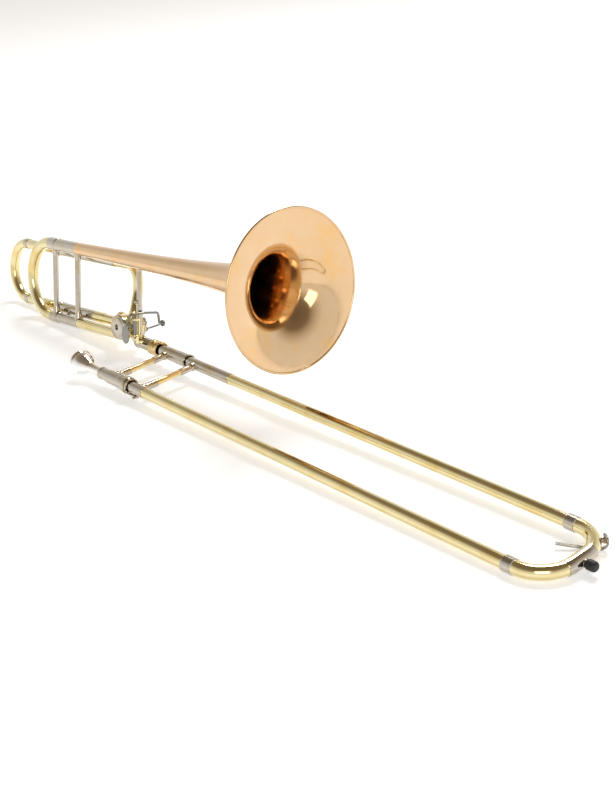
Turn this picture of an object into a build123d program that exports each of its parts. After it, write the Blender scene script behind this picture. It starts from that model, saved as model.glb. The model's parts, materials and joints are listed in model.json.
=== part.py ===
from build123d import *
from math import atan, cos, degrees, radians, sin
import os

# Tenor trombone in B flat and F, with an open-wrap F attachment, all in millimetres.
# The origin is the flat tip of the bumper on the slide's mid-line. +X runs forward along the slide,
# +Y is the player's left, where the bell is, and +Z stands square to the plane of the slide tubes.

# ---- Driving dimensions -------------------------------------------------------------------------
half_spacing = 49.5         # from the slide's mid-line to each slide tube
slide_reach = 750.5         # from the bumper tip back to the mouths of the cork barrels
bell_radius = 108.0
bell_front = 538.5          # from the bumper tip back to the rim plane
bell_height = 147.2         # from the neck's axis to the bell's axis, in the rim plane
bell_roll = radians(14.5)   # the bell leans this far towards the player's left
bell_pitch = radians(4.47)  # and its axis rises this far forward of the slide
stem_length = 521.0         # from the rim back to the main tuning slide's sleeves
main_drop = 119.0           # from the bell's axis down to the lower leg
main_crook_x = -610.0       # centre of the main tuning crook
f_plane = 18.5              # the F tubing lies this far beyond the bell's own plane
f_top = -12.5
f_bottom = -106.5
f_crook_x = -720.0
valve_x = -380.0
valve_z = -102.0

# ---- Tube radii ---------------------------------------------------------------------------------
fit = 0.05                  # radial clearance of every running fit
inner_slide_r = 7.25
inner_bore_r = 6.95
outer_slide_r = 7.65
outer_bore_r = 7.35
sleeve_r = 8.2              # nickel sleeves and the slide crook
barrel_end_x = -slide_reach - 57.0
tenon_r = 8.5
receiver_r = 9.8
barrel_r = 10.1             # cork barrels at their mouths
leg_r = 8.1                 # yellow brass leg from the tuning slide to the valve
knuckle_r = 8.2
knuckle_bore_r = 6.9
rotor_r = 16.5
casing_r = 18.5
casing_half = 17.0

# ---- Frames -------------------------------------------------------------------------------------
SLIDE = Plane.XY
BELL = Plane(
    origin=(-bell_front, half_spacing + bell_height * sin(bell_roll), bell_height * cos(bell_roll)),
    x_dir=(cos(bell_pitch), sin(bell_pitch) * sin(bell_roll), sin(bell_pitch) * cos(bell_roll)),
    z_dir=(-sin(bell_pitch), cos(bell_pitch) * sin(bell_roll), cos(bell_pitch) * cos(bell_roll)),
)


def spot(frame, x, y, z):
    """A point given in a frame's own coordinates."""
    return frame.from_local_coords(Vector(x, y, z))


def heading(frame, x, y, z):
    """A direction given in a frame's own coordinates."""
    return spot(frame, x, y, z) - frame.origin


def between(start, end, share):
    return start + (end - start) * share


def tube(start, end, outer, inner=0.0, mode=Mode.ADD):
    """A straight tube, or a rod when it has no bore, between two points."""
    run = end - start
    with BuildSketch(Plane(origin=start, z_dir=run)) as ring:
        Circle(outer)
        if inner:
            Circle(inner, mode=Mode.SUBTRACT)
    extrude(to_extrude=ring.sketch, amount=run.length, mode=mode)


def bent_tube(points, radii, outer, inner=0.0, mode=Mode.ADD):
    """A tube along straight runs joined by tangent arcs."""
    with BuildLine() as route:
        FilletPolyline(*points, radius=radii)
    path = route.wires()[0]
    with BuildSketch(Plane(origin=path @ 0, z_dir=path % 0)) as ring:
        Circle(outer)
        if inner:
            Circle(inner, mode=Mode.SUBTRACT)
    sweep(sections=ring.sketch, path=path, mode=mode)


def turned(origin, along, outline, mode=Mode.ADD):
    """A closed outline of (distance, radius) points, spun about its axis."""
    side = Plane(origin=origin, x_dir=along, z_dir=Plane(origin=origin, z_dir=along).x_dir)
    with BuildSketch(side) as section:
        with BuildLine():
            Polyline(*outline, close=True)
        make_face()
    revolve(profiles=section.sketch, axis=Axis(origin, along), mode=mode)


def block(frame, low, high, mode=Mode.ADD):
    """A box between two opposite corners, square to a frame."""
    size = [b - a for a, b in zip(low, high)]
    middle = [(a + b) / 2 for a, b in zip(low, high)]
    base = Plane(origin=spot(frame, middle[0], middle[1], low[2]), x_dir=frame.x_dir, z_dir=frame.z_dir)
    with BuildSketch(base) as face:
        Rectangle(size[0], size[1])
    extrude(to_extrude=face.sketch, amount=size[2], mode=mode)


def strip(frame, y_low, y_high, outline, mode=Mode.ADD):
    """A plate cut to an outline of (x, z) points, between two distances along the frame's y."""
    side = Plane(origin=spot(frame, 0, y_low, 0), x_dir=frame.x_dir, z_dir=frame.z_dir.cross(frame.x_dir))
    with BuildSketch(side) as face:
        with BuildLine():
            Polyline(*[(x, -z) for x, z in outline], close=True)
        make_face()
    extrude(to_extrude=face.sketch, amount=y_high - y_low, mode=mode)


forward = Vector(1, 0, 0)
bell_forward = heading(BELL, 1, 0, 0)
bell_across = heading(BELL, 0, 1, 0)
bell_up = heading(BELL, 0, 0, 1)
nodes = {}

# ---- Bell ---------------------------------------------------------------------------------------
flare_start = 8.93          # the flare follows a power law, as brass bells do
flare_power = 0.58
bell_wall = 0.9
rim_wire_r = 1.6
stem_r = bell_radius * (flare_start / (flare_start + stem_length)) ** flare_power


def flare_point(share, depth):
    """A point of the bell's wall: share runs from the stem, 0, to the rim, 1."""
    radius = stem_r * ((bell_radius - rim_wire_r) / stem_r) ** share
    back = flare_start * ((bell_radius / radius) ** (1 / flare_power) - 1)
    slope = flare_power * radius / (flare_start + back)
    length = (1 + slope ** 2) ** 0.5
    return (-back + depth * slope / length, radius - depth / length)


flare_steps = 18
bell_section = Plane(origin=BELL.origin, x_dir=bell_forward, z_dir=-bell_across)
with BuildPart() as bell:
    with BuildSketch(bell_section) as wall:
        with BuildLine():
            outside = Spline(*[flare_point(i / flare_steps, 0) for i in range(flare_steps + 1)])
            inside = Spline(*[flare_point(i / flare_steps, bell_wall) for i in range(flare_steps + 1)])
            Line(outside @ 0, inside @ 0)
            Line(outside @ 1, inside @ 1)
        make_face()
    revolve(axis=Axis(BELL.origin, bell_forward))
nodes["bell"] = bell

edge_radius = bell_radius - rim_wire_r
edge_angle = atan(flare_power * edge_radius / (flare_start - flare_point(1, 0)[0]))
edge_x, edge_y = flare_point(1, bell_wall / 2)
with BuildPart() as bell_rim_wire:
    with BuildSketch(bell_section) as bead:
        with Locations((edge_x, edge_y)):
            Circle(rim_wire_r)
        with Locations((edge_x - rim_wire_r * cos(edge_angle), edge_y - rim_wire_r * sin(edge_angle))):
            Rectangle(2 * rim_wire_r, 4 * rim_wire_r, rotation=degrees(edge_angle), mode=Mode.SUBTRACT)
    revolve(axis=Axis(BELL.origin, bell_forward))
nodes["bell_rim_wire"] = bell_rim_wire

# ---- Main tuning slide --------------------------------------------------------------------------
# Each leg of the slide: height, leg radius, crook radius, sleeve radius and ferrule radius
crook_r = main_drop / 2
upper_leg = (0.0, 9.45, 9.7, 10.2, 10.7)
lower_leg = (-main_drop, 7.85, 8.1, 8.5, 9.1)
tuning_wall = 0.6
sleeve_back = -585.7
ferrule_front = -586.3
ferrule_back = -604.0
crook_end = -598.0
bead_height = 0.7
bead_length = 3.0

for name, leg in (("upper", upper_leg), ("lower", lower_leg)):
    z, leg_outer, crook_outer, sleeve_outer, ferrule_outer = leg
    with BuildPart() as sleeve:
        turned(spot(BELL, 0, 0, z), bell_forward, [
            (sleeve_back, leg_outer + fit),
            (sleeve_back, sleeve_outer + bead_height),
            (sleeve_back + bead_length, sleeve_outer + bead_height),
            (sleeve_back + bead_length + 1, sleeve_outer),
            (-stem_length, sleeve_outer),
            (-stem_length, leg_outer + fit),
        ])
    nodes[f"{name}_tuning_sleeve"] = sleeve
with BuildPart() as tuning_legs:
    for z, leg_outer, crook_outer, sleeve_outer, ferrule_outer in (upper_leg, lower_leg):
        tube(spot(BELL, crook_end, 0, z), spot(BELL, -stem_length - 1, 0, z), leg_outer, leg_outer - tuning_wall)
nodes["tuning_legs"] = tuning_legs
with BuildPart() as tuning_ferrules:
    for z, leg_outer, crook_outer, sleeve_outer, ferrule_outer in (upper_leg, lower_leg):
        turned(spot(BELL, 0, 0, z), bell_forward, [
            (ferrule_back, crook_outer),
            (ferrule_back, ferrule_outer),
            (ferrule_front, ferrule_outer),
            (ferrule_front, leg_outer),
            (crook_end, leg_outer),
            (crook_end, crook_outer),
        ])
nodes["tuning_ferrules"] = tuning_ferrules


def tapered_crook(shrink, mode):
    """The main crook, wider where it meets the bell; shrink takes the wall off for its bore."""
    top = upper_leg[2] - shrink
    bottom = lower_leg[2] - shrink
    start = spot(BELL, main_crook_x, 0, 0)
    end = spot(BELL, main_crook_x, 0, -main_drop)
    middle = spot(BELL, main_crook_x - crook_r, 0, -crook_r)
    with BuildLine() as arc:
        ThreePointArc(start, middle, end)
    path = arc.wires()[0]
    profiles = []
    steps = 4
    for i in range(steps + 1):
        share = i / steps
        with BuildSketch(Plane(origin=path @ share, z_dir=path % share)) as ring:
            Circle(top + (bottom - top) * share)
        profiles.append(ring.sketch)
    sweep(sections=profiles, path=path, multisection=True, mode=mode)
    tube(spot(BELL, crook_end, 0, 0), start, top, mode=mode)
    tube(end, spot(BELL, crook_end, 0, -main_drop), bottom, mode=mode)


with BuildPart() as main_crook:
    tapered_crook(0.0, Mode.ADD)
    tapered_crook(0.8, Mode.SUBTRACT)
nodes["main_tuning_crook"] = main_crook


def post(frame, x, y, z_low, z_high, radius, foot, flare):
    """A round brace along a frame's z, with a flared foot at each end."""
    turned(spot(frame, x, y, z_low), heading(frame, 0, 0, 1), [
        (0, 0), (0, foot), (flare * 0.25, foot), (flare * 0.5, radius + 1.1), (flare, radius),
        (z_high - z_low - flare, radius), (z_high - z_low - flare * 0.5, radius + 1.1),
        (z_high - z_low - flare * 0.25, foot), (z_high - z_low, foot), (z_high - z_low, 0),
    ])


rear_brace_x = -593.5
front_brace_x = -525.0
brace_r = 4.8
brace_foot_r = 6.2
with BuildPart() as rear_brace:
    post(BELL, rear_brace_x, 0, -main_drop, 0, brace_r, brace_foot_r, 18)
    tube(spot(BELL, ferrule_back, 0, 0), spot(BELL, ferrule_front, 0, 0), upper_leg[4], mode=Mode.SUBTRACT)
    tube(spot(BELL, ferrule_back, 0, -main_drop), spot(BELL, ferrule_front, 0, -main_drop), lower_leg[4],
         mode=Mode.SUBTRACT)
nodes["rear_tuning_brace"] = rear_brace
with BuildPart() as front_brace:
    post(BELL, front_brace_x, 0, -main_drop, 0, brace_r, brace_foot_r, 18)
    for leg in (upper_leg, lower_leg):
        tube(spot(BELL, sleeve_back, 0, leg[0]), spot(BELL, -stem_length + 8, 0, leg[0]), leg[3],
             mode=Mode.SUBTRACT)
nodes["front_sleeve_brace"] = front_brace

# ---- Valve --------------------------------------------------------------------------------------
VALVE = Plane(origin=spot(BELL, valve_x, 0, valve_z), x_dir=bell_forward, z_dir=bell_up)
port_turn = 12.0            # the four ports stand this many degrees round from the diagonals
passage_r = 6.4
floor_y = -14.1             # inner face of the casing's near floor
plate_y = 14.1              # inner face of the back bearing plate
rear_main_angle = 225.0 + port_turn
front_main_angle = 315.0 + port_turn
rear_f_angle = 135.0 + port_turn
front_f_angle = 45.0 + port_turn


def around(radius, angle, y=0.0):
    """A point near the valve, by its distance and its angle from forward towards up."""
    return spot(VALVE, radius * cos(radians(angle)), y, radius * sin(radians(angle)))


def axis_crossing(angle):
    """Where a port's own line meets the neck's axis."""
    start = around(0, angle)
    step = around(1, angle) - start
    share = -start.Z / step.Z
    return start + step * share


port_start = 12.0
main_leg_line = (valve_z + main_drop) / sin(radians(rear_main_angle - 180))
rear_main_corner = around(main_leg_line, rear_main_angle)
rear_main_end = spot(BELL, valve_x - 30, 0, -main_drop)
front_main_corner = axis_crossing(front_main_angle)
neck_back_x = -877.5
front_main_end = Vector(neck_back_x, half_spacing, 0)
rear_f_corner = around(26, rear_f_angle)
f_return_corner = spot(BELL, valve_x - 42, f_plane, f_bottom)
rear_f_end = between(rear_f_corner, f_return_corner, 0.62)
front_f_corner = around(24, front_f_angle, 2)
f_forward_corner = spot(BELL, valve_x - 1, f_plane, -52)
front_f_end = between(front_f_corner, f_forward_corner, 0.5)
knuckles = [
    ([around(port_start, rear_main_angle), rear_main_corner, rear_main_end], 9.7),
    ([around(port_start, front_main_angle), front_main_corner, front_main_end], 9.0),
    ([around(port_start, rear_f_angle), rear_f_corner, rear_f_end], 12.0),
    ([around(port_start, front_f_angle), front_f_corner, front_f_end], 12.0),
]

with BuildPart() as valve_casing:
    tube(spot(VALVE, 0, -casing_half, 0), spot(VALVE, 0, casing_half, 0), casing_r)
    for points, bend in knuckles:
        bent_tube(points, bend, knuckle_r)
    for points, bend in knuckles:
        bent_tube(points, bend, knuckle_bore_r, mode=Mode.SUBTRACT)
    tube(spot(VALVE, 0, floor_y, 0), spot(VALVE, 0, casing_half, 0), rotor_r + fit, mode=Mode.SUBTRACT)
    tube(spot(VALVE, 0, -casing_half, 0), spot(VALVE, 0, floor_y, 0), 4.0 + fit, mode=Mode.SUBTRACT)
nodes["valve_casing"] = valve_casing

with BuildPart() as valve_cap:
    turned(spot(VALVE, 0, -casing_half, 0), -bell_across, [
        (0, 4.5), (0, casing_r + 0.4), (1.2, casing_r + 0.4), (2.6, casing_r - 0.6),
        (3.2, casing_r - 4), (4.0, casing_r - 5), (4.0, 4.5),
    ])
nodes["valve_cap"] = valve_cap

with BuildPart() as back_plate:
    turned(spot(VALVE, 0, 0, 0), bell_across, [
        (plate_y, 4.0 + fit), (plate_y, rotor_r), (casing_half, rotor_r), (casing_half, casing_r + 0.6),
        (20, casing_r + 0.6), (20, 4.0 + fit),
    ])
nodes["back_bearing_plate"] = back_plate

cork_r = 2.2
lug_radius = 11.5
with BuildPart() as stop_corks:
    for angle in (26.0, 154.0):
        tube(around(lug_radius, angle, 20), around(lug_radius, angle, 25), cork_r)
nodes["stop_corks"] = stop_corks

with BuildPart() as rotor:
    tube(spot(VALVE, 0, -14, 0), spot(VALVE, 0, 14, 0), rotor_r)
    for angle in (270.0 + port_turn, 90.0 + port_turn):
        centre = around(rotor_r * 2 ** 0.5, angle)
        mouth = around(rotor_r, angle - 45.0)
        with BuildSketch(Plane(origin=mouth, z_dir=mouth - VALVE.origin)) as hole:
            Circle(passage_r)
        revolve(profiles=hole.sketch, axis=Axis(centre, bell_across), mode=Mode.SUBTRACT)
    tube(spot(VALVE, 0, -19, 0), spot(VALVE, 0, -14, 0), 4.0)
    tube(spot(VALVE, 0, 14, 0), spot(VALVE, 0, 21, 0), 4.0)
nodes["rotor"] = rotor

crank_radius = 14.0
crank_angle = -135.0
lug_half = 1.3
ARM = Plane(origin=VALVE.origin, x_dir=around(1, crank_angle) - VALVE.origin,
            z_dir=(around(1, crank_angle) - VALVE.origin).cross(bell_across))
with BuildPart() as stop_arm:
    tube(spot(VALVE, 0, 21, 0), spot(VALVE, 0, 25, 0), 6.5)
    block(ARM, (0, 21, -3), (crank_radius, 25, 3))
    tube(around(crank_radius, crank_angle, 21), around(crank_radius, crank_angle, 25), 3.0)
    block(ARM, (-lug_radius - 2, 21, -lug_half), (0, 25, lug_half))
    tube(around(crank_radius, crank_angle, 25), around(crank_radius, crank_angle, 32), 1.6)
    with Locations(around(crank_radius, crank_angle, 31)):
        Sphere(2.7)
nodes["stop_arm"] = stop_arm
with BuildPart() as stop_arm_screw:
    tube(spot(VALVE, 0, 25, 0), spot(VALVE, 0, 27.2, 0), 4.4)
    block(VALVE, (-5, 26.3, -0.5), (5, 28, 0.5), mode=Mode.SUBTRACT)
nodes["stop_arm_screw"] = stop_arm_screw

with BuildPart() as lower_leg_tube:
    tube(spot(BELL, -stem_length, 0, -main_drop), rear_main_end, leg_r, leg_r - 0.8)
nodes["lower_leg_tube"] = lower_leg_tube

# ---- F attachment tubing ------------------------------------------------------------------------
f_leg_r = 8.2
f_wall = 0.6
f_sleeve_outer = 8.85
f_sleeve_back = -609.0
f_leg_end = -521.0
f_lower_sleeve_end = -500.0
f_upper_sleeve_end = -440.0
f_ferrule_end = -474.0
f_crook_r = (f_top - f_bottom) / 2

with BuildPart() as f_sleeves:
    for z, front in ((f_top, f_upper_sleeve_end), (f_bottom, f_lower_sleeve_end)):
        turned(spot(BELL, 0, f_plane, z), bell_forward, [
            (f_sleeve_back, f_leg_r + fit),
            (f_sleeve_back, f_sleeve_outer + bead_height),
            (f_sleeve_back + bead_length, f_sleeve_outer + bead_height),
            (f_sleeve_back + bead_length + 1, f_sleeve_outer),
            (front, f_sleeve_outer),
            (front, f_leg_r + fit),
        ])
nodes["f_sleeves"] = f_sleeves
with BuildPart() as f_legs:
    for z in (f_top, f_bottom):
        tube(spot(BELL, f_crook_x + 4, f_plane, z), spot(BELL, f_leg_end, f_plane, z), f_leg_r, f_leg_r - f_wall)
nodes["f_tuning_legs"] = f_legs

with BuildPart() as f_crook:
    start = spot(BELL, f_crook_x, f_plane, f_top)
    with BuildSketch(Plane(origin=start, z_dir=-bell_forward)) as ring:
        Circle(f_leg_r)
        Circle(f_leg_r - f_wall, mode=Mode.SUBTRACT)
    centre = spot(BELL, f_crook_x, f_plane, f_top - f_crook_r)
    revolve(profiles=ring.sketch, axis=Axis(centre, -bell_across), revolution_arc=180)
    for z in (f_top, f_bottom):
        tube(spot(BELL, f_crook_x, f_plane, z), spot(BELL, f_crook_x + 4, f_plane, z), f_leg_r, f_leg_r - f_wall)
nodes["f_tuning_crook"] = f_crook
with BuildPart() as f_ferrules:
    for z in (f_top, f_bottom):
        tube(spot(BELL, f_crook_x, f_plane, z), spot(BELL, f_crook_x + 9, f_plane, z), f_leg_r + 0.8, f_leg_r)
nodes["f_crook_ferrules"] = f_ferrules

with BuildPart() as f_return_tube:
    bent_tube([rear_f_end, f_return_corner, spot(BELL, f_lower_sleeve_end, f_plane, f_bottom)], 18.0,
              knuckle_r, knuckle_r - f_wall)
nodes["f_return_tube"] = f_return_tube
with BuildPart() as f_lower_ferrule:
    tube(spot(BELL, f_lower_sleeve_end, f_plane, f_bottom), spot(BELL, f_ferrule_end, f_plane, f_bottom),
         knuckle_r + 0.9, knuckle_r)
nodes["f_lower_ferrule"] = f_lower_ferrule
with BuildPart() as f_forward_crook:
    bent_tube([front_f_end, f_forward_corner, spot(BELL, valve_x - 1, f_plane, f_top),
               spot(BELL, f_upper_sleeve_end, f_plane, f_top)], [26.0, 25.0], knuckle_r, knuckle_r - f_wall)
nodes["f_forward_crook"] = f_forward_crook

with BuildPart() as f_stays:
    for x in (-571.0, -530.0):
        for main_z, f_z in ((0.0, f_top), (-main_drop, f_bottom)):
            tube(spot(BELL, x, 0, main_z), spot(BELL, x, f_plane, f_z), 2.6)
    for z, sleeve_outer in ((0.0, upper_leg[3]), (-main_drop, lower_leg[3])):
        tube(spot(BELL, sleeve_back, 0, z), spot(BELL, -stem_length + 5, 0, z), sleeve_outer, mode=Mode.SUBTRACT)
    for z in (f_top, f_bottom):
        tube(spot(BELL, sleeve_back, f_plane, z), spot(BELL, -stem_length + 5, f_plane, z), f_sleeve_outer,
             mode=Mode.SUBTRACT)
nodes["f_stays"] = f_stays

# ---- Neck, lock nut and tenon -------------------------------------------------------------------
neck_axis = Vector(0, half_spacing, 0)
receiver_front = -836.0
tenon_back = -848.0
nut_back = -842.5
nut_front = -819.5
with BuildPart() as neck_receiver:
    turned(neck_axis, forward, [
        (neck_back_x, tenon_r + fit), (neck_back_x, receiver_r + bead_height),
        (neck_back_x + 2.5, receiver_r + bead_height), (neck_back_x + 3.2, receiver_r),
        (receiver_front, receiver_r), (receiver_front, tenon_r + fit),
    ])
nodes["neck_receiver"] = neck_receiver
with BuildPart() as neck_tube:
    tube(front_main_end, Vector(tenon_back, half_spacing, 0), tenon_r, knuckle_bore_r)
nodes["neck_tube"] = neck_tube
with BuildPart() as slide_tenon:
    tube(Vector(tenon_back, half_spacing, 0), Vector(barrel_end_x, half_spacing, 0), tenon_r, inner_slide_r)
nodes["slide_tenon"] = slide_tenon
with BuildPart() as lock_nut:
    turned(neck_axis, forward, [
        (nut_back, receiver_r + fit), (nut_back, 10.6), (nut_back + 1, 11.4), (nut_back + 8, 11.4),
        (nut_back + 9, 10.9), (nut_back + 11.5, 10.9), (nut_front - 8, 12.2), (nut_front, 12.2),
        (nut_front, 11.2), (nut_front - 8.5, 10.4), (nut_front - 8.5, tenon_r + fit),
        (receiver_front + 0.4, tenon_r + fit), (receiver_front + 0.4, receiver_r + fit),
    ])
nodes["lock_nut"] = lock_nut

bell_brace_x = -350.0
socket_top = -79.0
knob_y = -6.3
knob_z = -61.0
with BuildPart() as bell_brace:
    post(BELL, bell_brace_x, 0, -main_drop, 0, 4.0, 6.0, 16)
    turned(spot(BELL, bell_brace_x, 0, -main_drop), bell_up, [
        (0, 0), (0, 5.2), (main_drop + socket_top, 5.2), (main_drop + socket_top + 2, 4.6),
        (main_drop + socket_top + 13, 4.6), (main_drop + socket_top + 14, 0),
    ])
    tube(Vector(neck_back_x - 9, half_spacing, 0), Vector(neck_back_x + 9, half_spacing, 0),
         receiver_r + bead_height, mode=Mode.SUBTRACT)
    with BuildSketch(bell_section) as under_bell:
        with BuildLine():
            edge = Spline(*[flare_point(i / flare_steps, 0) for i in range(flare_steps // 2)])
            Polyline(edge @ 1, ((edge @ 1).X, 0), ((edge @ 0).X, 0), edge @ 0)
        make_face()
    revolve(axis=Axis(BELL.origin, bell_forward), mode=Mode.SUBTRACT)
    with Locations(spot(BELL, bell_brace_x, knob_y, knob_z)):
        Sphere(2.9)
    tube(spot(BELL, bell_brace_x, knob_y, knob_z), spot(BELL, bell_brace_x, 0, knob_z), 1.5)
    add(valve_casing.part, mode=Mode.SUBTRACT)
nodes["bell_brace"] = bell_brace

# ---- Thumb lever and link -----------------------------------------------------------------------
hinge_x = -337.0
hinge_y = -17.0
pin_r = 1.5
barrel_low = -107.0
barrel_high = -86.0
ear_gap = 0.15
with BuildPart() as lever_bracket:
    block(BELL, (hinge_x - 3.5, -12.5, -118), (hinge_x + 3.5, -10.0, -83))
    block(BELL, (hinge_x - 3.5, -12.5, -121), (hinge_x + 3.5, -6, -108))
    for low, high in ((barrel_low - ear_gap - 2.5, barrel_low - ear_gap),
                      (barrel_high + ear_gap, barrel_high + ear_gap + 2.5)):
        block(BELL, (hinge_x - 3.5, hinge_y, low), (hinge_x + 3.5, -12.5, high))
        tube(spot(BELL, hinge_x, hinge_y, low), spot(BELL, hinge_x, hinge_y, high), 3.5)
    tube(spot(BELL, hinge_x, hinge_y, -120), spot(BELL, hinge_x, hinge_y, -80), pin_r, mode=Mode.SUBTRACT)
    tube(Vector(neck_back_x, half_spacing, 0), Vector(receiver_front, half_spacing, 0), receiver_r,
         mode=Mode.SUBTRACT)
nodes["lever_bracket"] = lever_bracket
with BuildPart() as lever_pivot:
    tube(spot(BELL, hinge_x, hinge_y, -112), spot(BELL, hinge_x, hinge_y, -82.2), pin_r)
    tube(spot(BELL, hinge_x, hinge_y, barrel_high + ear_gap + 2.5), spot(BELL, hinge_x, hinge_y, -81.4), 2.5)
nodes["lever_pivot"] = lever_pivot

ball = (-340.0, 35.0, -95.0)
paddle_middle = (-346.0, -27.0, -107.0)
PADDLE = Plane(origin=spot(BELL, *paddle_middle), x_dir=bell_forward, z_dir=-bell_across)
with BuildPart() as thumb_lever:
    tube(spot(BELL, hinge_x, hinge_y, barrel_low), spot(BELL, hinge_x, hinge_y, barrel_high), 3.4, pin_r + fit)
    with BuildSketch(PADDLE) as leaf:
        Ellipse(9.5, 14)
        with Locations((2, 10)):
            RectangleRounded(9, 12, 3)
    extrude(to_extrude=leaf.sketch, amount=0.8, both=True)
    bent_tube([spot(BELL, -343.5, -27.0, -95), spot(BELL, -341, -22.5, -77.5), spot(BELL, -338, 0, -76),
               spot(BELL, -338, 25, -77.5), spot(BELL, -340, 29, -95), spot(BELL, *ball)],
              [4.0, 14.0, 5.0, 2.6], 1.9)
    bent_tube([spot(BELL, hinge_x - 2.2, hinge_y - 2.2, -95), spot(BELL, -340.5, -23.2, -94),
               spot(BELL, -343.0, -26.0, -92)], 2.0, 1.7)
    with Locations(spot(BELL, *ball)):
        Sphere(2.8)
nodes["thumb_lever"] = thumb_lever

eye_y = ball[1] + 3.1
rod_end = (valve_x + crank_radius * cos(radians(crank_angle)), eye_y,
           valve_z + crank_radius * sin(radians(crank_angle)))
rod_bend = (ball[0] - 14, eye_y, ball[2] - 4.8)
with BuildPart() as link_rod:
    tube(spot(BELL, ball[0], ball[1] - 1.4, ball[2]), spot(BELL, ball[0], ball[1] + 1.4, ball[2]), 4.8)
    bent_tube([spot(BELL, ball[0] - 3.9, ball[1], ball[2] - 1.3), spot(BELL, *rod_bend), spot(BELL, *rod_end)],
              6.0, 1.4)
    tube(spot(BELL, ball[0], ball[1] - 2, ball[2]), spot(BELL, ball[0], ball[1] + 2, ball[2]), 3.1,
         mode=Mode.SUBTRACT)
    tube(spot(BELL, rod_end[0], eye_y - 1.5, rod_end[2]), spot(BELL, rod_end[0], eye_y + 1.5, rod_end[2]), 4.0)
nodes["link_rod"] = link_rod

# ---- Inner slide --------------------------------------------------------------------------------
inner_front = -92.0
receiver_back = -826.5
stocking_r = 7.3
for side, y, back in (("left", half_spacing, tenon_back), ("right", -half_spacing, receiver_back + 2.5)):
    with BuildPart() as inner_tube:
        turned(Vector(0, y, 0), forward, [
            (back, inner_bore_r), (back, inner_slide_r), (inner_front - 110, inner_slide_r),
            (inner_front - 108, stocking_r), (inner_front - 1, stocking_r), (inner_front, inner_slide_r),
            (inner_front, inner_bore_r),
        ])
    nodes[f"inner_tube_{side}"] = inner_tube
    with BuildPart() as cork_barrel:
        turned(Vector(-slide_reach, y, 0), forward, [
            (-57, inner_slide_r), (-57, 9.0), (-56, 9.8), (-28, 9.8), (-26, barrel_r), (-4.5, barrel_r),
            (-3, 11.2), (0, 11.2), (0, 9.6), (-8, 8.7), (-19.5, 8.7), (-19.5, inner_slide_r),
        ])
    nodes[f"cork_barrel_{side}"] = cork_barrel
with BuildPart() as barrel_corks:
    for y in (half_spacing, -half_spacing):
        tube(Vector(-slide_reach - 19.5, y, 0), Vector(-slide_reach - 8, y, 0), 8.7, outer_bore_r)
nodes["barrel_corks"] = barrel_corks

with BuildPart() as mouthpiece_receiver:
    turned(Vector(0, -half_spacing, 0), forward, [
        (receiver_back, 6.55), (receiver_back, 9.2), (receiver_back + 3, 9.2), (receiver_back + 3.6, 8.7),
        (barrel_end_x, 8.7), (barrel_end_x, inner_slide_r), (receiver_back + 2.5, inner_slide_r),
        (receiver_back + 2.5, 6.55),
    ])
nodes["mouthpiece_receiver"] = mouthpiece_receiver
with BuildPart() as leadpipe:
    tube(Vector(receiver_back + 2.5, -half_spacing, 0), Vector(-600, -half_spacing, 0), 6.9, 6.5)
nodes["leadpipe"] = leadpipe

# ---- Slide braces -------------------------------------------------------------------------------
cross_tube_r = 4.3
cross_tube_half = 24.0
socket_end = 29.5           # how far each socket reaches in from its slide tube
# Each brace: where it crosses, and the radius of the tubes that it joins
for name, x, seat in (("inner", -799.5, 9.8), ("outer", -732.5, sleeve_r)):
    with BuildPart() as brace:
        tube(Vector(x, -cross_tube_half, 0), Vector(x, cross_tube_half, 0), cross_tube_r, cross_tube_r - 0.8)
    nodes[f"{name}_brace"] = brace
    with BuildPart() as sockets:
        for sign in (-1, 1):
            turned(Vector(x, sign * half_spacing, 0), Vector(0, -sign, 0), [
                (0, 0), (0, 6.4), (seat + 1.2, 6.4), (seat + 4, 5.4), (seat + 7, cross_tube_r + 0.8),
                (socket_end, cross_tube_r + 0.8), (socket_end, cross_tube_r),
                (half_spacing - cross_tube_half, cross_tube_r), (half_spacing - cross_tube_half, 0),
            ])
            tube(Vector(x - 10, sign * half_spacing, 0), Vector(x + 10, sign * half_spacing, 0), seat,
                 mode=Mode.SUBTRACT)
    nodes[f"{name}_brace_sockets"] = sockets

# ---- Mouthpiece ---------------------------------------------------------------------------------
rim_x = -887.5
with BuildPart() as mouthpiece:
    side = Plane(origin=(rim_x, -half_spacing, 0), x_dir=forward, z_dir=(0, -1, 0))
    with BuildSketch(side) as profile:
        with BuildLine():
            Polyline((2.2, 19.5), (4.6, 19.5), (6.2, 18.2), (7.4, 17.6), (9.0, 17.9))
            Spline((9.0, 17.9), (17.0, 16.2), (25.0, 12.2), (30.5, 8.6), (36.0, 7.3))
            Polyline((36.0, 7.3), (60.5, 6.45), (86.5, 5.8), (86.5, 5.2), (27.0, 3.3))
            Spline((27.0, 3.3), (23.5, 5.6), (16.0, 9.9), (7.0, 12.2), (2.0, 13.0))
            ThreePointArc((2.0, 13.0), (0.0, 16.2), (2.2, 19.5))
        make_face()
    revolve(axis=Axis((rim_x, -half_spacing, 0), forward))
nodes["mouthpiece"] = mouthpiece

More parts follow.
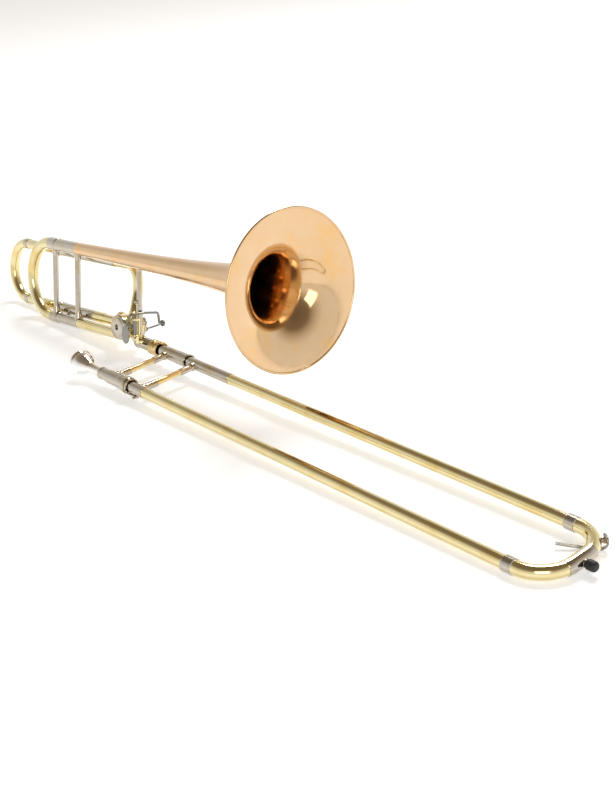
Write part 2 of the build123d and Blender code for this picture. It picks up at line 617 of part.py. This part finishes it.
# ---- Outer slide --------------------------------------------------------------------------------
outer_back = -758.0
crook_joint = -67.5
bow_x = -22.0               # mid-line of the bow's straight front
bow_bend = 40.0
bow_flat = half_spacing - bow_bend
bow_start = bow_x - bow_bend
bow_route = [(crook_joint, half_spacing), (bow_x, half_spacing), (bow_x, -half_spacing),
             (crook_joint, -half_spacing)]
for side, y, sleeve_end in (("left", half_spacing, -652.7), ("right", -half_spacing, -717.5)):
    with BuildPart() as outer_tube:
        tube(Vector(outer_back, y, 0), Vector(crook_joint, y, 0), outer_slide_r, outer_bore_r)
    nodes[f"outer_tube_{side}"] = outer_tube
    with BuildPart() as outer_sleeve:
        tube(Vector(outer_back, y, 0), Vector(sleeve_end, y, 0), sleeve_r, outer_slide_r)
    nodes[f"outer_sleeve_{side}"] = outer_sleeve
with BuildPart() as slide_crook:
    bent_tube(bow_route, bow_bend, sleeve_r, outer_bore_r)
nodes["slide_crook"] = slide_crook
with BuildPart() as crook_ferrules:
    for y in (half_spacing, -half_spacing):
        turned(Vector(0, y, 0), forward, [
            (bow_start - 13.5, outer_slide_r), (bow_start - 13.5, 8.6), (bow_start - 12.5, 9.0),
            (bow_start - 0.6, 9.0), (bow_start, sleeve_r), (crook_joint, sleeve_r),
            (crook_joint, outer_slide_r),
        ])
nodes["crook_ferrules"] = crook_ferrules

saddle_turn = 14.0          # how far the bumper's saddle follows each bend, in degrees
saddle_wall = 1.0
mount_face = -12.6
boss_r = 4.6
bumper_r = 5.8
bumper_tip_r = 3.5
with BuildPart() as bumper_mount:
    tube(Vector(bow_x, 0, 0), Vector(mount_face, 0, 0), boss_r)
    tube(Vector(bow_x, -bow_flat, 0), Vector(bow_x, bow_flat, 0), sleeve_r, mode=Mode.SUBTRACT)
    for turn in (1, -1):
        with BuildSketch(Plane(origin=(bow_x, turn * bow_flat, 0), x_dir=(1, 0, 0), z_dir=(0, -turn, 0))) as shell:
            Circle(sleeve_r + saddle_wall)
            Circle(sleeve_r, mode=Mode.SUBTRACT)
            with Locations((-sleeve_r - 2, 0)):
                Rectangle(2 * sleeve_r + 4, 4 * sleeve_r, mode=Mode.SUBTRACT)
        extrude(to_extrude=shell.sketch, amount=bow_flat)
        revolve(profiles=shell.sketch, axis=Axis((bow_start, turn * bow_flat, 0), (0, 0, turn)),
                revolution_arc=saddle_turn)
nodes["bumper_mount"] = bumper_mount
with BuildPart() as bumper:
    turned(Vector(0, 0, 0), forward, [
        (mount_face, 0), (mount_face, boss_r), (mount_face + 1.5, boss_r), (mount_face + 2.5, bumper_r),
        (-3.8, bumper_r), (-2.2, 5.5), (-0.8, 4.7), (0, bumper_tip_r), (0, 0),
    ])
nodes["bumper"] = bumper

# ---- Slide lock ---------------------------------------------------------------------------------
lock_y = -half_spacing
stud_angle = radians(-160)
with BuildPart() as slide_lock_ring:
    turned(Vector(-slide_reach, lock_y, 0), forward, [
        (-13, barrel_r + fit), (-13, 11.8), (-12, 12.2), (-6, 12.2), (-5, 11.8), (-5, barrel_r + fit),
    ])
    LUG = Plane(origin=(-slide_reach, lock_y, 0), x_dir=forward, z_dir=(0, 0, 1))
    block(LUG, (-12, -2.5, -14.0), (11, 2.5, -11.3))
    block(LUG, (8, -7.5, -13.0), (11, 2.5, -11.0))
nodes["slide_lock_ring"] = slide_lock_ring
with BuildPart() as lock_stud:
    stud_x = -slide_reach + 4.5
    stud_out = Vector(0, cos(stud_angle), sin(stud_angle))
    tube(Vector(stud_x, lock_y, 0), Vector(stud_x, lock_y, 0) + stud_out * 12.8, 1.5)
    tube(Vector(stud_x - 5, lock_y, 0), Vector(stud_x + 5, lock_y, 0), sleeve_r, mode=Mode.SUBTRACT)
nodes["lock_stud"] = lock_stud

# ---- Water key ----------------------------------------------------------------------------------
key_place = radians(45)
key_turn = radians(35)
KEY = Plane(origin=(bow_start + bow_bend * cos(key_place), bow_flat + bow_bend * sin(key_place), 0),
            x_dir=(cos(key_turn), sin(key_turn), 0), z_dir=(0, 0, 1))
key_pin_z = -10.9
key_pin_r = 0.9
nipple_end = 10.4
pad_face = 13.6
curl_x = 5.5                # the key's outer end curls up round the nipple
curl_z = -1.5
curl_r = 10.2
with BuildPart() as water_key_saddle:
    block(KEY, (-3, -5.2, -9.0), (3, 5.2, -5.5))
    for y in (-5.2, 4.0):
        strip(KEY, y, y + 1.2, [(-2.6, -6), (2.6, -6), (2.0, -12.0), (0.9, -12.7), (-0.9, -12.7), (-2.0, -12.0)])
    tube(spot(KEY, 5, 0, 0), spot(KEY, nipple_end, 0, 0), 3.0)
    bent_tube(bow_route, bow_bend, sleeve_r, mode=Mode.SUBTRACT)
    tube(spot(KEY, 5, 0, 0), spot(KEY, nipple_end + 1, 0, 0), 1.9, mode=Mode.SUBTRACT)
    tube(spot(KEY, 0, -6, key_pin_z), spot(KEY, 0, 6, key_pin_z), key_pin_r, mode=Mode.SUBTRACT)
nodes["water_key_saddle"] = water_key_saddle
with BuildPart() as water_key_pin:
    tube(spot(KEY, 0, -5.8, key_pin_z), spot(KEY, 0, 5.8, key_pin_z), key_pin_r)
nodes["water_key_pin"] = water_key_pin
with BuildPart() as water_key:
    strip(KEY, -2.2, 2.2, [(-38.0, -6.8), (-37.5, -5.6), (-6, -10.2), (curl_x, curl_z - curl_r + 1.2),
                           (curl_x, curl_z - curl_r), (-6, -11.5)])
    side = Plane(origin=spot(KEY, curl_x, -2.6, curl_z), x_dir=KEY.x_dir, z_dir=KEY.y_dir)
    with BuildSketch(side) as strap:
        Circle(curl_r)
        Circle(curl_r - 1.2, mode=Mode.SUBTRACT)
        Polygon((0, 0), (0, 20), (-20, 20), (-20, -20), (11.5, -20), align=None, mode=Mode.SUBTRACT)
    extrude(to_extrude=strap.sketch, amount=5.2)
    tube(spot(KEY, 0, -3.7, key_pin_z), spot(KEY, 0, 3.7, key_pin_z), 1.7)
    tube(spot(KEY, 0, -3.8, key_pin_z), spot(KEY, 0, 3.8, key_pin_z), key_pin_r + fit, mode=Mode.SUBTRACT)
    tube(spot(KEY, nipple_end, 0, 0), spot(KEY, pad_face, 0, 0), 3.7 + fit, mode=Mode.SUBTRACT)
    tube(spot(KEY, pad_face, 0, 0), spot(KEY, pad_face + 1.4, 0, 0), 4.2)
nodes["water_key"] = water_key
with BuildPart() as water_key_cork:
    tube(spot(KEY, nipple_end + 0.1, 0, 0), spot(KEY, pad_face, 0, 0), 3.7)
nodes["water_key_cork"] = water_key_cork

# ---- Write each node ----------------------------------------------------------------------------
os.makedirs("parts", exist_ok=True)
for name, piece in nodes.items():
    piece.part.label = name
    export_step(piece.part, f"parts/{name}.step")
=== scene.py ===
import bmesh
import bpy
import json
from math import cos, pi, radians, sin
from mathutils import Matrix, Vector


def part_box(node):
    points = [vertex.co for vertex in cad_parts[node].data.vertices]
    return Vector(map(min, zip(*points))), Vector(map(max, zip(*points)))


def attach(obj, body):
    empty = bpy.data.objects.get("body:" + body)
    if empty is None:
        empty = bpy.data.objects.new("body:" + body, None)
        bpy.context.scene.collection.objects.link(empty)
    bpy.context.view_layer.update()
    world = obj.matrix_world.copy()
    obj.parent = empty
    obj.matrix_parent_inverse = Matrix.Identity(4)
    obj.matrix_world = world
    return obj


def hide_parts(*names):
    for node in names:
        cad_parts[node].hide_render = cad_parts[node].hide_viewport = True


# Looks for the trombone: lacquered brass, nickel silver, steel, cork and rubber on a pale floor.
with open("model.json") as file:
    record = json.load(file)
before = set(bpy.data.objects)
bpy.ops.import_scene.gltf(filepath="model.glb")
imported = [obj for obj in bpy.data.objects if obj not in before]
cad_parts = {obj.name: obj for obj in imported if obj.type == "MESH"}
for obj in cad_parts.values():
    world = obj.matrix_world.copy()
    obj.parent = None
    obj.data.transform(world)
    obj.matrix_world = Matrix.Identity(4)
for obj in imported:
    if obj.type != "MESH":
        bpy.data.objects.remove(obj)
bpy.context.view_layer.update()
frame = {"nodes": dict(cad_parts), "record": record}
nodes = frame["nodes"]
record = frame["record"]

# ---- Materials ----------------------------------------------------------------------------------


def new_material(name, metallic, roughness, coat=0.0):
    """A material with its shader, its node tree and a coordinate source in metres."""
    material = bpy.data.materials.new(name)
    material.use_nodes = True
    tree = material.node_tree
    shader = tree.nodes["Principled BSDF"]
    shader.inputs["Metallic"].default_value = metallic
    shader.inputs["Roughness"].default_value = roughness
    shader.inputs["Coat Weight"].default_value = coat
    shader.inputs["Coat Roughness"].default_value = 0.06
    place = tree.nodes.new("ShaderNodeTexCoord").outputs["Object"]
    return material, tree, shader, place


def noise(tree, place, scale, detail=4.0, stretch=(1, 1, 1)):
    mapping = tree.nodes.new("ShaderNodeMapping")
    mapping.inputs["Scale"].default_value = stretch
    tree.links.new(place, mapping.inputs["Vector"])
    texture = tree.nodes.new("ShaderNodeTexNoise")
    texture.inputs["Scale"].default_value = scale
    texture.inputs["Detail"].default_value = detail
    tree.links.new(mapping.outputs["Vector"], texture.inputs["Vector"])
    return texture.outputs["Fac"]


def ramp(tree, value, *stops):
    """A colour ramp over (position, grey or colour) stops."""
    node = tree.nodes.new("ShaderNodeValToRGB")
    elements = node.color_ramp.elements
    while len(elements) < len(stops):
        elements.new(0.5)
    for element, (position, colour) in zip(elements, stops):
        element.position = position
        rgb = colour if isinstance(colour, tuple) else (colour, colour, colour)
        element.color = (*rgb, 1)
    tree.links.new(value, node.inputs["Fac"])
    return node.outputs["Color"]


def bump(tree, shader, height, strength, distance):
    node = tree.nodes.new("ShaderNodeBump")
    node.inputs["Strength"].default_value = strength
    node.inputs["Distance"].default_value = distance
    tree.links.new(height, node.inputs["Height"])
    tree.links.new(node.outputs["Normal"], shader.inputs["Normal"])


def tinted(colour, factor, warm=0.0):
    """The colour, darker or lighter by a factor and shifted towards red-brown."""
    r, g, b = colour
    return (min(1, r * factor * (1 + warm * 0.2)), g * factor, b * factor * (1 - warm * 0.5))


def metal(name, colour, roughness, wear=0.12, coat=0.35, scratch=0.05):
    """Polished sheet metal: faint clouding in colour, drawing lines and handling wear in its roughness."""
    material, tree, shader, place = new_material(name, 1.0, roughness, coat)
    clouds = noise(tree, place, 34.0, 5.0)
    dull = tinted(colour, 1 - wear, 0.5)
    cloudy = ramp(tree, clouds, (0.30, dull), (0.52, colour), (0.75, tinted(colour, 1.04)))
    tree.links.new(cloudy, shader.inputs["Base Color"])
    lines = noise(tree, place, 90.0, 3.0, (0.12, 1, 1))
    low = max(0.03, roughness - 0.05)
    rough = ramp(tree, lines, (0.35, low), (0.55, roughness), (0.80, roughness + 0.10))
    tree.links.new(rough, shader.inputs["Roughness"])
    fine = noise(tree, place, 420.0, 6.0, (0.3, 1, 1))
    bump(tree, shader, fine, scratch, 0.0002)
    return material


def soft(name, colour, roughness, grain, depth):
    """Cork or rubber: a granular surface with darker pits."""
    material, tree, shader, place = new_material(name, 0.0, roughness)
    speckle = noise(tree, place, grain, 6.0)
    shades = ramp(tree, speckle, (0.35, tinted(colour, 0.55)), (0.55, colour), (0.75, tinted(colour, 1.25)))
    tree.links.new(shades, shader.inputs["Base Color"])
    rough = ramp(tree, speckle, (0.3, roughness + 0.15), (0.7, roughness - 0.1))
    tree.links.new(rough, shader.inputs["Roughness"])
    bump(tree, shader, speckle, 0.6, depth)
    return material


finishes = {
    "rose_brass": metal("rose_brass", (0.71, 0.49, 0.28), 0.12, wear=0.05),
    "rose_brass_tube": metal("rose_brass_tube", (0.76, 0.66, 0.37), 0.13),
    "yellow_brass": metal("yellow_brass", (0.80, 0.69, 0.38), 0.12),
    "nut_brass": metal("nut_brass", (0.74, 0.55, 0.24), 0.18, wear=0.30),
    "f_leg_brass": metal("f_leg_brass", (0.76, 0.67, 0.40), 0.13),
    "nickel_silver": metal("nickel_silver", (0.52, 0.48, 0.41), 0.15),
    "chromed_slide": metal("chromed_slide", (0.60, 0.60, 0.61), 0.07, coat=0.0),
    "steel": metal("steel", (0.26, 0.26, 0.25), 0.26, coat=0.0),
    "silver_plate": metal("silver_plate", (0.93, 0.93, 0.93), 0.07, wear=0.04, coat=0.0),
    "rubber": soft("rubber", (0.010, 0.010, 0.011), 0.50, 900.0, 0.0002),
    "cork": soft("cork", (0.42, 0.24, 0.11), 0.85, 700.0, 0.0006),
}
slot_of = {entry["node"]: entry["material_slot"] for entry in record["subparts"]}
for name, node in nodes.items():
    node.data.materials.clear()
    node.data.materials.append(finishes[slot_of[name]])

# ---- Turned pieces ------------------------------------------------------------------------------
joints = {joint["name"]: joint for joint in record["behaviour"]["joints"]}
mounts = {mount["name"]: mount for mount in record["mounts"]}


def lathe(name, origin, axis, outline, body, slot, stands_for, count=180, relief=None):
    """A closed outline of (distance, radius), spun about an axis; relief cuts into its surface."""
    axis = axis.normalized()
    across = axis.orthogonal().normalized()
    over = axis.cross(across)
    vertices = []
    faces = []
    size = len(outline)
    for i in range(count):
        angle = 2 * pi * i / count
        out = across * cos(angle) + over * sin(angle)
        for j, (distance, radius) in enumerate(outline):
            depth = relief(distance, radius, angle) if relief else 0.0
            vertices.append(origin + axis * distance + out * (radius - depth))
            after = (i + 1) % count * size
            ahead = (j + 1) % size
            faces.append((i * size + j, after + j, after + ahead, i * size + ahead))
    mesh = bpy.data.meshes.new(name)
    mesh.from_pydata(vertices, [], faces)
    shell = bmesh.new()
    shell.from_mesh(mesh)
    bmesh.ops.recalc_face_normals(shell, faces=shell.faces)
    shell.to_mesh(mesh)
    shell.free()
    mesh.shade_smooth()
    mesh.set_sharp_from_angle(angle=radians(38))
    mesh.materials.append(finishes[slot])
    piece = bpy.data.objects.new(name, mesh)
    bpy.context.collection.objects.link(piece)
    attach(piece, body)
    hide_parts(*stands_for)


def through(points, steps):
    """A smooth run through points, by cubic pieces between each two."""
    run = []
    for i in range(len(points) - 1):
        before = Vector(points[max(i - 1, 0)])
        start = Vector(points[i])
        end = Vector(points[i + 1])
        beyond = Vector(points[min(i + 2, len(points) - 1)])
        for step in range(steps):
            t = step / steps
            bend = (2 * before - 5 * start + 4 * end - beyond) * t * t
            twist = (3 * start - before - 3 * end + beyond) * t * t * t
            run.append(tuple((2 * start + (end - before) * t + bend + twist) / 2))
    return run + [tuple(points[-1])]


def millimetres(points):
    return [(x / 1000, y / 1000) for x, y in points]


def rounded(centre, radius, first, last, steps):
    """An arc of points from one angle to another, in degrees."""
    angles = [radians(first + (last - first) * i / steps) for i in range(steps + 1)]
    return [(centre[0] + radius * cos(a), centre[1] + radius * sin(a)) for a in angles]


# The bell: a power-law flare of even wall, closed by a rolled rim over a wire
bell_radius = 0.108
stem_length = 0.521
flare_start = 0.00893
flare_power = 0.58
bell_wall = 0.0009
wire_r = 0.0016
stem_r = bell_radius * (flare_start / (flare_start + stem_length)) ** flare_power
flare_steps = 110


def flare_point(share, depth):
    radius = stem_r * ((bell_radius - wire_r) / stem_r) ** share
    back = flare_start * ((bell_radius / radius) ** (1 / flare_power) - 1)
    tangent = Vector((1, flare_power * radius / (flare_start + back))).normalized()
    return Vector((-back + depth * tangent.y, radius - depth * tangent.x)), tangent


outside = [tuple(flare_point(i / flare_steps, 0)[0]) for i in range(flare_steps)]
inside = [tuple(flare_point(i / flare_steps, bell_wall)[0]) for i in range(flare_steps)]
edge, edge_tangent = flare_point(1, bell_wall / 2)
edge_angle = 180 / pi * edge_tangent.angle(Vector((1, 0)))
roll = rounded(edge, wire_r, edge_angle + 163, edge_angle - 163, 28)
bell_origin = Vector(mounts["bell_rim"]["pos_m"])
bell_axis = Vector(mounts["bell_rim"]["axis"])
lathe("bell_shell", bell_origin, bell_axis, outside + roll + inside[::-1], "bell_section", "rose_brass",
      ["bell", "bell_rim_wire"], 256)

# The lock nut: a knurled grip behind a smooth cup
nut_low, nut_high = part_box("lock_nut")
nut_middle = (nut_low + nut_high) / 2
nut_origin = Vector((nut_low.x, nut_middle.y, nut_middle.z))
nut_length = (nut_high.x - nut_low.x) * 1000
grip = [(1.2 + 6.6 * i / 22, 11.4) for i in range(23)]
nut_outline = millimetres(
    [(0, 9.86), (0, 10.6), (0.5, 11.1)] + grip
    + [(8.4, 11.1), (9.2, 10.9), (11.0, 10.9), (13.4, 11.6), (15.0, 12.2), (nut_length - 0.5, 12.2),
       (nut_length, 11.8), (nut_length, 11.2), (14.5, 10.4), (14.5, 8.56), (6.9, 8.56), (6.9, 9.86)])


knurl_start = 0.0013
knurl_end = 0.0077
knurl_radius = 0.01135      # anything narrower than this is left smooth
knurl_depth = 0.0003
knurl_ridges = 23
knurl_slant = 1500


def knurl(distance, radius, angle):
    """The depth of two crossing sets of grooves."""
    if radius < knurl_radius or not knurl_start < distance < knurl_end:
        return 0.0
    turn = knurl_ridges * angle
    slide = knurl_slant * distance
    return knurl_depth * abs(sin(turn + slide) * sin(turn - slide))


lathe("lock_nut_turned", nut_origin, Vector((1, 0, 0)), nut_outline, "lock_nut_group", "nut_brass",
      ["lock_nut"], 368, knurl)

# The mouthpiece: rounded rim, cup, throat and tapered shank
mouth = Vector(mounts["mouthpiece_rim"]["pos_m"])
cup_outside = through([(9.0, 17.9), (17.0, 16.2), (25.0, 12.2), (30.5, 8.6), (36.0, 7.3)], 8)
cup_inside = through([(27.0, 3.3), (23.5, 5.6), (16.0, 9.9), (7.0, 12.2), (2.0, 13.0)], 8)
rim = through([(2.0, 13.0), (0.6, 14.3), (0.0, 16.2), (0.6, 18.2), (2.2, 19.4), (4.2, 19.4), (5.6, 18.6),
               (7.2, 17.8), (9.0, 17.9)], 6)
shank = [(60.5, 6.45), (86.2, 5.8), (86.5, 5.6), (86.5, 5.2)]
lathe("mouthpiece_turned", mouth, Vector((1, 0, 0)),
      millimetres(cup_outside + shank + cup_inside + rim[1:-1]), "mouthpiece_group", "silver_plate",
      ["mouthpiece"], 144)

# The valve cap: a turned disc with two fine rings
valve_middle = Vector(joints["rotor_turn"]["pos_m"])
valve_out = Vector(joints["rotor_turn"]["axis"])
lathe("valve_cap_turned", valve_middle, valve_out, millimetres(
    [(17.0, 4.5), (17.0, 18.6), (17.3, 18.9), (17.9, 18.9), (18.3, 18.7), (19.6, 17.9), (19.9, 16.6),
     (19.6, 16.2), (19.6, 15.8), (19.95, 15.4), (20.2, 14.5), (20.7, 13.9), (21.0, 13.2), (21.0, 10.6),
     (20.75, 10.3), (20.75, 9.9), (21.0, 9.6), (21.0, 4.5)]),
      "bell_section", "nickel_silver", ["valve_cap"], 144)

# ---- Camera -------------------------------------------------------------------------------------
camera = bpy.data.objects.new("camera", bpy.data.cameras.new("camera"))
bpy.context.collection.objects.link(camera)
camera_right = Vector((0.6517, 0.7500, -0.1132))
camera_up = Vector((-0.2672, 0.3667, 0.8911))
camera_back = camera_right.cross(camera_up)
camera.matrix_world = Matrix.Translation((0.6396, -0.8248, 0.7156)) @ Matrix(
    (camera_right, camera_up, camera_back)).transposed().to_4x4()
camera.data.sensor_fit = "HORIZONTAL"
camera.data.sensor_width = 36.0
camera.data.lens = 73.05
bpy.context.scene.camera = camera

# ---- Floor --------------------------------------------------------------------------------------


def lowest(node):
    """The lowest point of a CAD node."""
    return min((v.co for v in nodes[node].data.vertices), key=lambda co: co.z).copy()


rests = [lowest("water_key"), lowest("mouthpiece"), lowest("tuning_ferrules")]
floor_up = (rests[1] - rests[0]).cross(rests[2] - rests[0]).normalized()
if floor_up.z < 0:
    floor_up.negate()
floor_gap = 0.0003
floor_point = sum(rests, Vector()) / 3 - floor_up * floor_gap
floor_size = 60.0
floor_mesh = bpy.data.meshes.new("floor")
side = floor_up.cross(Vector((1, 0, 0))).normalized() * floor_size
ahead = side.cross(floor_up).normalized() * floor_size
corners = [floor_point + side * a + ahead * b for a, b in ((-1, -1), (1, -1), (1, 1), (-1, 1))]
floor_mesh.from_pydata(corners, [], [(0, 1, 2, 3)])
floor = bpy.data.objects.new("floor", floor_mesh)
bpy.context.collection.objects.link(floor)
floor_material, _, floor_shader, _ = new_material("floor", 0.0, 0.9)
floor_shader.inputs["Base Color"].default_value = (0.88, 0.88, 0.88, 1)
floor_shader.inputs["Emission Color"].default_value = (1.0, 1.0, 1.0, 1)
floor_shader.inputs["Emission Strength"].default_value = 0.42
floor_shader.inputs["Specular IOR Level"].default_value = 0.1
floor_mesh.materials.append(floor_material)

# ---- Light --------------------------------------------------------------------------------------
world = bpy.data.worlds.new("studio")
world.use_nodes = True
bpy.context.scene.world = world
sky = world.node_tree
direction = sky.nodes.new("ShaderNodeTexCoord").outputs["Generated"]
split = sky.nodes.new("ShaderNodeSeparateXYZ")
sky.links.new(direction, split.inputs["Vector"])
shade = ramp(sky, split.outputs["Z"], (0.0, 0.95), (0.30, 0.90), (0.52, (0.62, 0.58, 0.53)),
             (0.72, (0.26, 0.21, 0.16)), (1.0, (0.18, 0.14, 0.10)))
sky.links.new(shade, sky.nodes["Background"].inputs["Color"])
sky.nodes["Background"].inputs["Strength"].default_value = 1.0


def softbox(name, place, aim, size, power):
    lamp = bpy.data.lights.new(name, "AREA")
    lamp.shape = "RECTANGLE"
    lamp.size, lamp.size_y = size
    lamp.energy = power
    holder = bpy.data.objects.new(name, lamp)
    bpy.context.collection.objects.link(holder)
    place = Vector(place)
    holder.location = place
    holder.rotation_euler = (Vector(aim) - place).to_track_quat("-Z", "Y").to_euler()


softbox("key", (-1.6, 2.6, 3.4), (-0.6, 0, 0), (1.8, 1.4), 110)
softbox("fill", (1.5, -1.8, 1.6), (-0.4, 0, 0), (1.5, 1.5), 16)
bpy.context.scene.view_settings.view_transform = "Standard"
